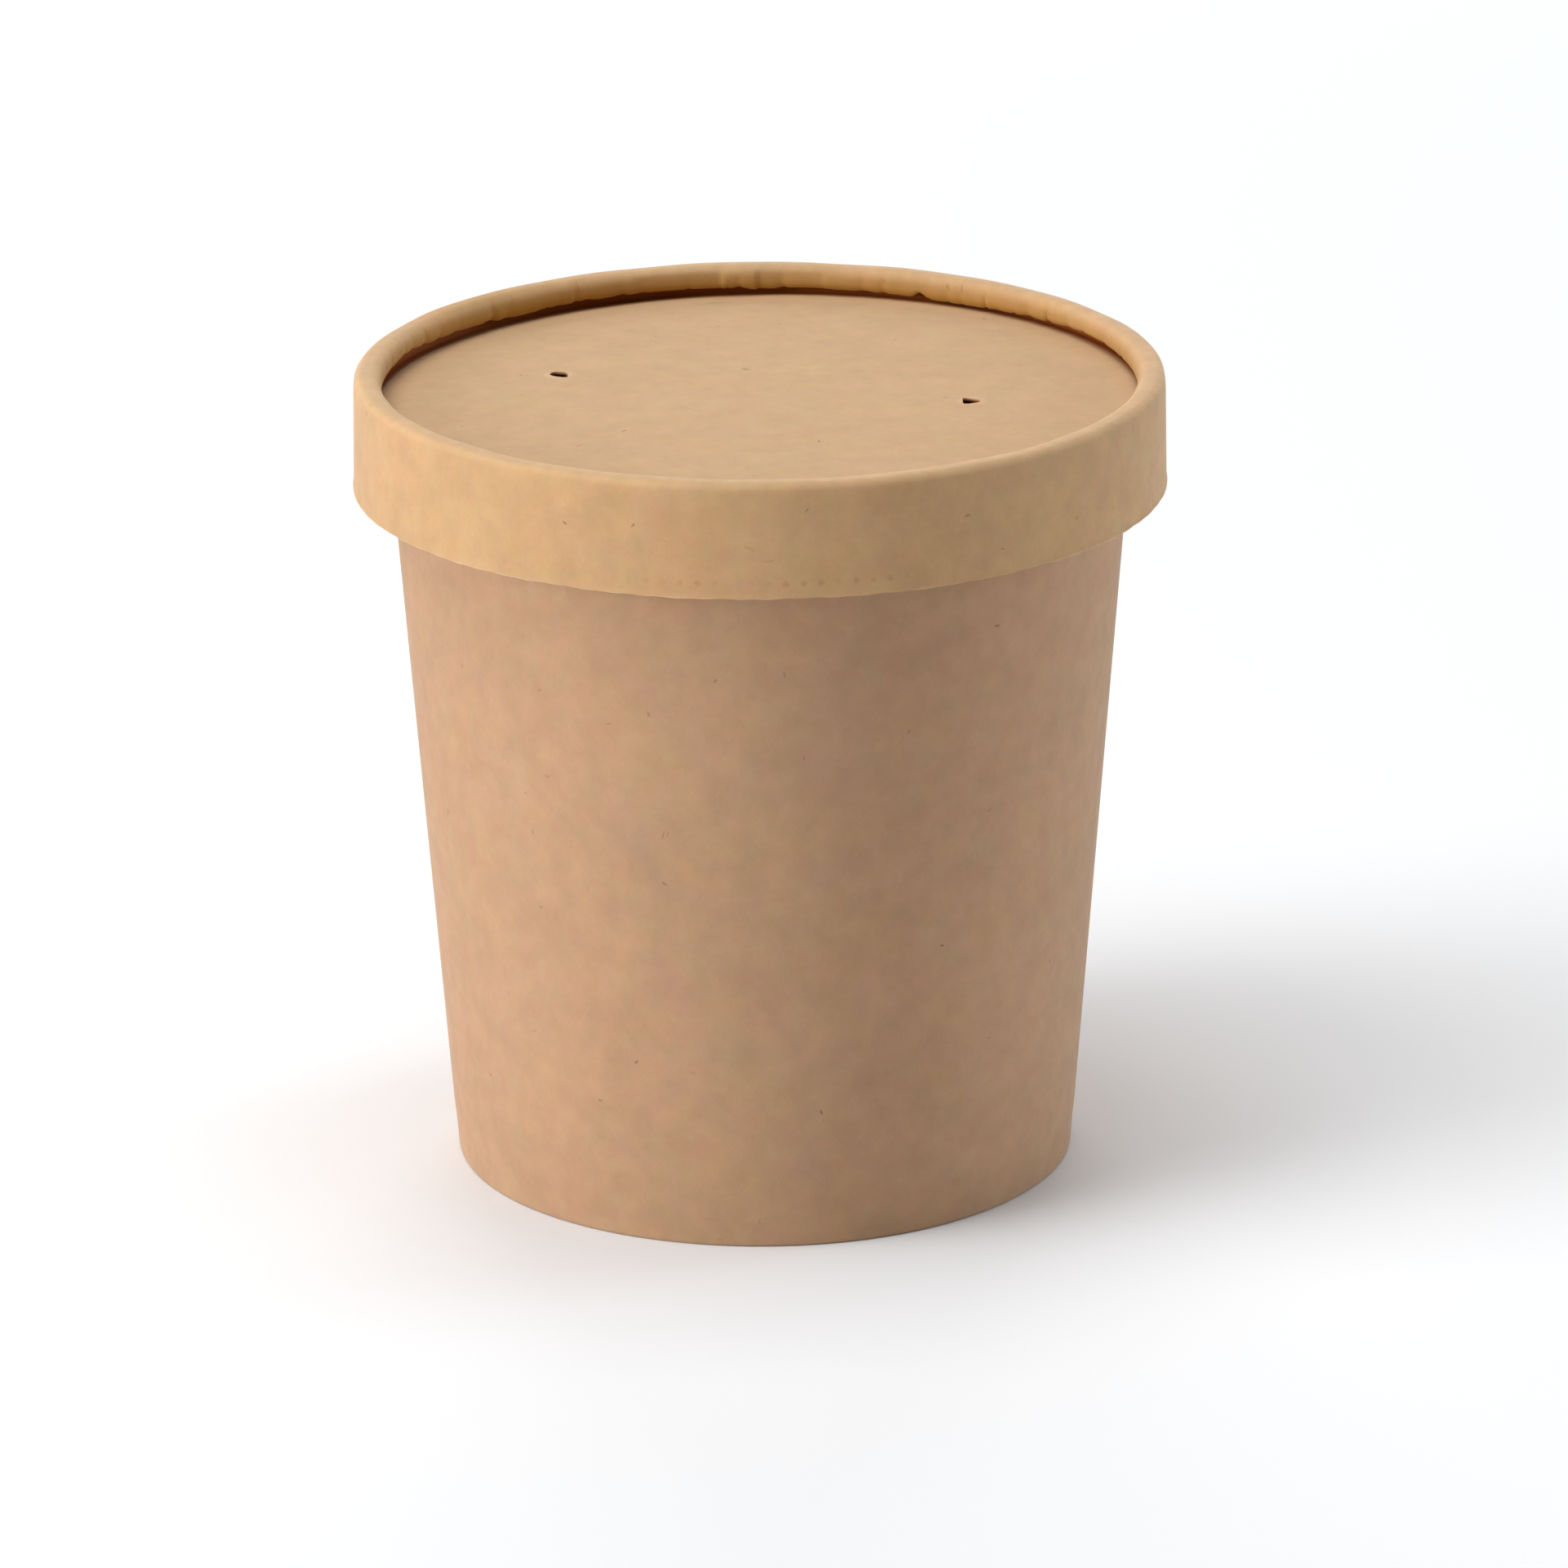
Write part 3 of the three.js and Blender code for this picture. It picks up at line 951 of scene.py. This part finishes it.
def kraft(
    name, colour, unroll_radius=None, flecks_and_shade=(), painted_highlights=(), dimple_row=None, calm=1.0, shade_tone=PAINTED_CORNER_SHADE
):
    """Uncoated brown board. Each dark mark (a fleck, or painted shade in a pleat) and each painted highlight is
    (place on the flat paper, lean, length, width, strength). calm says how lively the pulp is: less than 1 for a
    quieter sheet."""
    lively = calm == 1.0  # only the quiet sheet is pressed smooth, with no nap and less shine
    material = bpy.data.materials.new(name)
    material.use_nodes = True
    nodes = Pulp(material)
    shader = material.node_tree.nodes["Principled BSDF"]
    place = nodes.add("ShaderNodeTexCoord").outputs["Object"]
    sheet = nodes.unrolled(unroll_radius * MM) if unroll_radius else place

    def lighter_and_darker(noise, low, high, strength):
        return nodes.ramp(noise, low, high, 1 - strength * calm, 1 + strength * calm)

    # clouds: thicker and thinner pulp, with a faint change of hue
    grain = nodes.noise(place, 2300, 3, 0.6)
    clouds = lighter_and_darker(nodes.noise(place, 60, 3), 0.25, 0.75, 0.03)
    patches = lighter_and_darker(nodes.noise(place, 260, 4, 0.55), 0.2, 0.8, 0.065)
    fine = lighter_and_darker(grain, 0.2, 0.8, 0.022)
    shade = nodes.math("MULTIPLY", nodes.math("MULTIPLY", clouds, patches), fine)
    tone = nodes.mix(1.0, colour, nodes.tint(place, 110, 2, 0.11 * calm), "MULTIPLY")
    tone = nodes.mix(1.0, tone, nodes.tint(place, 400, 3, 0.16 * calm), "MULTIPLY")
    tone = nodes.mix(1.0, tone, shade, "MULTIPLY")

    # fibres: fine dark and pale ones all over, and now and then a short dark speck
    crooked = nodes.bent(sheet, 900, 0.35 * MM)

    def fibres(turns, length, width, share):
        found = 0.0
        for turn in turns:
            found = nodes.math("MAXIMUM", found, nodes.fibres(crooked, turn, length * MM, width * MM, share))
        return found

    dark = fibres((0.4, 1.5, 2.5), 1.8, 0.1, 0.08)
    pale = fibres((0.9, 2.1), 1.5, 0.1, 0.12)
    specks_and_shade = fibres((0.2, 1.3, 2.4), 0.9, 0.15, 0.0003)
    # the listed marks: on the band most are painted shade in the creases of the placed pleats
    for spot, lean, length, width, strength in flecks_and_shade:
        mark = nodes.stroke(crooked, spot, lean, length, width)
        specks_and_shade = nodes.math("MAXIMUM", specks_and_shade, nodes.math("MULTIPLY", mark, strength))
    tone = nodes.mix(nodes.math("MULTIPLY", dark, 0.06), tone, srgb(112, 72, 38))
    tone = nodes.mix(nodes.math("MULTIPLY", pale, 0.045), tone, srgb(240, 214, 178))
    tone = nodes.mix(nodes.math("MULTIPLY", specks_and_shade, 0.6), tone, srgb(96, 58, 28))

    # a row of small dents, spaced evenly along the strip and unevenly deep, each also painted darker as painted
    # shade
    relief = grain
    if dimple_row:
        spacing, level, size = dimple_row
        parts = nodes.add("ShaderNodeSeparateXYZ", {0: crooked})
        step = nodes.math("FRACT", nodes.math("DIVIDE", parts.outputs["X"], spacing * MM))
        across = nodes.math("MULTIPLY", nodes.math("SUBTRACT", step, 0.5), spacing / size)
        up = nodes.math("DIVIDE", nodes.math("SUBTRACT", parts.outputs["Y"], level * MM), size * MM)
        reach = nodes.math("ADD", nodes.math("MULTIPLY", across, across), nodes.math("MULTIPLY", up, up))
        depth = nodes.ramp(nodes.noise(place, 330, 1), 0.35, 0.65, 0.1, 1.0)
        depth = nodes.math("MULTIPLY", depth, nodes.ramp(parts.outputs["X"], -0.02, -0.006, 0.2, 1.0))
        depth = nodes.math("MULTIPLY", depth, nodes.ramp(parts.outputs["X"], 0.014, 0.026, 1.0, 0.2))
        dent_shape_and_shade = nodes.math("MULTIPLY", nodes.ramp(reach, 1.5, 0.1), depth)
        # painted shade in each dent, fading out towards the left and right
        tone = nodes.mix(nodes.math("MULTIPLY", dent_shape_and_shade, 0.22), tone, srgb(138, 72, 34))
        relief = nodes.math("SUBTRACT", relief, nodes.math("MULTIPLY", dent_shape_and_shade, 2.5))

    # folds and cut edges are painted paler: wear on the tub's foot and its base, a painted highlight on the band's
    # crest and round the vents, and the band's cut edge simply paler
    wear_and_highlight = nodes.add("ShaderNodeAttribute", attribute_name="wear_and_highlight").outputs["Fac"]
    patchy = nodes.ramp(nodes.noise(place, 500, 3), 0.35, 0.65, 0.35, 0.6)
    paler_by_wear_and_light = nodes.math("MULTIPLY", wear_and_highlight, patchy)
    # painted highlights placed one by one, the pale lines along the band's lap
    for spot, lean, length, width, strength in painted_highlights:
        mark = nodes.stroke(crooked, spot, lean, length, width)
        paler_by_wear_and_light = nodes.math("MAXIMUM", paler_by_wear_and_light, nodes.math("MULTIPLY", mark, strength))
    tone = nodes.mix(paler_by_wear_and_light, tone, PALE_OF_WEAR_AND_HIGHLIGHT)

    # painted shade: corners that no light reaches are painted darker and browner, and the inside of a hole nearly
    # black
    corner = nodes.add("ShaderNodeAttribute", attribute_name="dark").outputs["Fac"]
    tone = nodes.mix(nodes.ramp(corner, 0.0, 0.75, 0.0, 0.98), tone, shade_tone)
    tone = nodes.mix(nodes.ramp(corner, 0.75, 1.0), tone, PAINTED_HOLE_SHADE)
    material.node_tree.links.new(tone, shader.inputs["Base Color"])

    rough = nodes.ramp(nodes.noise(place, 900, 3), 0.3, 0.7, 0.8, 0.94)
    material.node_tree.links.new(rough, shader.inputs["Roughness"])
    bump = nodes.add("ShaderNodeBump", {"Height": relief, "Strength": 0.25, "Distance": 0.02 * MM})
    material.node_tree.links.new(bump.outputs[0], shader.inputs["Normal"])
    shader.inputs["Specular IOR Level"].default_value = 0.5 if lively else 0.3
    shader.inputs["Sheen Weight"].default_value = 0.12 if lively else 0.0
    shader.inputs["Sheen Roughness"].default_value = 0.4
    return material


# %% [markdown]
# The strongest flecks of the real sheets are placed one by one, and so are the painted shade in the creases of the
# placed pleats and the two pale lines of painted highlight where the strip's ends lap. A mark is given by its angle
# and height on the tub, and the helpers below turn those into its place on the paper laid flat.

# %% Flecks and scuffs
WALL_UNROLL = 42.0  # a middle radius of the wall
FRONT = 270  # degrees: the front is laid at the middle of the flat paper


def on_paper(unroll_radius, angle, radius, height, *mark):
    way_round = math.radians(turn_between(angle, FRONT)) * unroll_radius
    return ((way_round, height - radius, radius), *mark)


def on_wall(angle, height, *mark):
    return on_paper(WALL_UNROLL, angle, wall_radius(height), height, *mark)


def on_band(angle, radius, height, *mark):
    return on_paper(band_radius, angle, radius, height, *mark)


# each ends with its lean in radians, its length and width in millimetres, and its strength
wall_flecks = [
    on_wall(254.0, 55.0, 1.15, 1.1, 0.14, 0.8),
    on_wall(254.8, 55.2, 1.15, 1.0, 0.12, 0.45),
    on_wall(254.0, 48.7, -0.7, 0.8, 0.22, 0.8),
    on_wall(245.5, 69.0, 0.4, 0.9, 0.18, 0.6),
    on_wall(257.8, 23.6, -0.2, 0.9, 0.16, 0.5),
    on_wall(276.8, 65.5, 1.3, 0.5, 0.3, 0.5),
    on_wall(228.4, 57.5, 0.3, 0.5, 0.3, 0.4),
    on_wall(261.5, 43.4, 1.4, 1.0, 0.14, 0.4),
]
band_flecks_and_pleat_shade = [
    on_band(242.6, 50.5, 95.8, -0.6, 0.7, 0.3, 0.9),
    on_band(299.6, 50.5, 96.1, 0.1, 0.9, 0.35, 0.7),
    on_band(268.6, 50.5, 94.2, -0.5, 1.4, 0.25, 0.35),
    on_band(271.4, 50.5, 92.6, 0.1, 1.3, 0.25, 0.35),
    # from here on, painted shade in the creases of the placed pleats, at the pleats' angles
    on_band(153.5, 47.2, 101.0, 1.2, 0.9, 0.3, 0.35),
    on_band(136.2, 47.1, 101.0, 1.5, 1.2, 0.2, 0.5),
    on_band(119.8, 47.1, 101.1, 1.3, 1.3, 0.2, 0.5),
    on_band(70.1, 47.2, 101.0, 0.3, 0.8, 0.3, 0.3),
    on_band(59.1, 47.1, 101.0, 0.6, 0.9, 0.4, 0.5),
    on_band(56.6, 47.1, 101.1, 1.0, 0.8, 0.4, 0.4),
    on_band(52.0, 47.0, 100.8, 1.5, 0.7, 0.12, 0.7),
    on_band(43.5, 47.1, 99.8, 0.1, 1.6, 0.5, 0.4),
    on_band(38.9, 47.1, 100.2, -0.9, 1.4, 0.22, 0.8),
    on_band(34.0, 47.1, 99.9, -0.3, 1.8, 0.5, 0.4),
]
# painted highlights along the edges of the strip's lap
band_lap_highlights = [
    on_band(95.9, 47.0, 100.2, 1.5, 1.9, 0.22, 0.45),
    on_band(95.2, 47.1, 101.0, 0.1, 0.9, 0.2, 0.3),
    on_band(90.1, 47.0, 100.3, 1.6, 1.6, 0.2, 0.4),
]
panel_flecks = [
    ((-1.4, 9.5, 99.2), 0.1, 1.5, 0.7, 0.3),
    ((-5.4, 43.8, 98.5), 0.02, 3.2, 0.4, 0.5),
]
print(len(wall_flecks) + len(band_flecks_and_pleat_shade) + len(panel_flecks), "flecks,", len(band_lap_highlights), "painted_highlights")

# %% [markdown]
# Four sheets of the same stock: the tub and its base are pinkish brown, the strip is lighter and yellower,
# and the panel is the lightest and quietest.

# %% The four sheets
TUB_KRAFT = srgb(181, 142, 108)
tub_paper = kraft("tub_kraft", TUB_KRAFT, WALL_UNROLL, wall_flecks)
dimple_row = (2.115, 89.65 - band_radius, 0.43)  # spacing, height on the flat paper, size
band_paper = kraft(
    "band_kraft", srgb(193, 153, 109), band_radius, band_flecks_and_pleat_shade, band_lap_highlights, dimple_row, shade_tone=PAINTED_LEG_SHADE
)
panel_paper = kraft("panel_kraft", srgb(196, 161, 122), None, panel_flecks, calm=0.6)
base_paper = kraft("base_kraft", TUB_KRAFT)

for piece, material in (
    (tub_wall, tub_paper),
    (tub_base, base_paper),
    (lid_panel, panel_paper),
    (lid_strip, band_paper),
):
    piece.data.materials.clear()
    piece.data.materials.append(material)
    print(piece.name, "wears", material.name, "with", len(material.node_tree.nodes), "nodes")

# %% [markdown]
# ## Floor and light
#
# The photograph is a product picture on white. Three soft lights stand at the left, a little in front: two
# low, one high. Weaker ones overhead, behind and low at the back right lift the shadows, the last one a
# little cooler than the rest. The low ones stand well back, so that the floor is lit as far as it is seen.
# Their strengths were found by rendering each light alone and weighing the pictures against the
# photograph's bright and dark parts.

# %% Floor
FLOOR_SIZE = 10  # metres, so that its edge is out of sight also in low views
deselect()
bpy.ops.mesh.primitive_plane_add(size=FLOOR_SIZE, location=(0, 0, 0))
floor = bpy.context.object
floor.name = "floor"
floor_paint = bpy.data.materials.new("floor_white")
floor_paint.use_nodes = True
floor_shader = floor_paint.node_tree.nodes["Principled BSDF"]
floor_shader.inputs["Base Color"].default_value = (0.898, 0.908, 0.924, 1)
floor_shader.inputs["Roughness"].default_value = 0.9
floor_shader.inputs["Specular IOR Level"].default_value = 0.1
floor.data.materials.append(floor_paint)
floor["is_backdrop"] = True
print("floor:", FLOOR_SIZE, "m square")


# %% Lights
def soft_light(name, turn, rise, distance, size, power, colour=(1, 1, 1)):
    """A square soft light, in degrees, metres and watts. Turn is round from the camera's side, minus is to
    the left, and rise is above the floor."""
    turn, rise = math.radians(turn), math.radians(rise)
    direction = Vector((math.sin(turn), -math.cos(turn), 0)) * math.cos(rise)
    direction.z = math.sin(rise)
    bpy.ops.object.light_add(type="AREA", location=target + direction * distance)
    light = bpy.context.object
    light.name = name
    light.data.shape = "SQUARE"
    light.data.size = size
    light.data.energy = power
    light.data.color = colour
    light.rotation_euler = direction.to_track_quat("Z", "Y").to_euler()
    print(name, "light:", power, "W")


soft_light("low key", -70, 8, 2.4, 1.0, 28.8)
soft_light("broad key", -75, 14, 2.4, 1.6, 20.0)
soft_light("high key", -63, 59, 1.2, 0.6, 4.9)
soft_light("top", 0, 90, 1.4, 0.8, 7.75)
soft_light("back right", 110, 8, 3.0, 1.2, 42.4, (0.86, 0.95, 1.0))
soft_light("back", 180, 20, 1.5, 1.0, 8.1)

# %% [markdown]
# The room gives a little white light from all sides, because in the photograph no shadow is black. The
# Standard view shows colours as the materials name them.

# %% The room's own light
ROOM_LIGHT = 0.2
world = bpy.data.worlds.new("studio")
world.use_nodes = True
world.node_tree.nodes["Background"].inputs["Color"].default_value = (1, 1, 1, 1)
world.node_tree.nodes["Background"].inputs["Strength"].default_value = ROOM_LIGHT
bpy.context.scene.world = world
bpy.context.scene.view_settings.view_transform = "Standard"
print("room light:", ROOM_LIGHT)

# %% [markdown]
# ## Joining the pieces to the frame
#
# The lid is pressed on and nothing moves, so all four pieces ride on the same body. Each takes the place of
# the plain solid that stands for it in the frame.

# %% What stands for what
for piece, node, slot in (
    (tub_wall, "cup", "cup_kraft"),
    (tub_base, "cup_base", "cup_kraft"),
    (lid_panel, "lid_disc", "lid_kraft"),
    (lid_strip, "lid_band", "lid_kraft"),
):
    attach(piece, "root")
    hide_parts(node)

visual_box = [list(map(float, corner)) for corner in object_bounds()]
print("visual box in mm:", [[round(v * 1000, 2) for v in corner] for corner in visual_box])
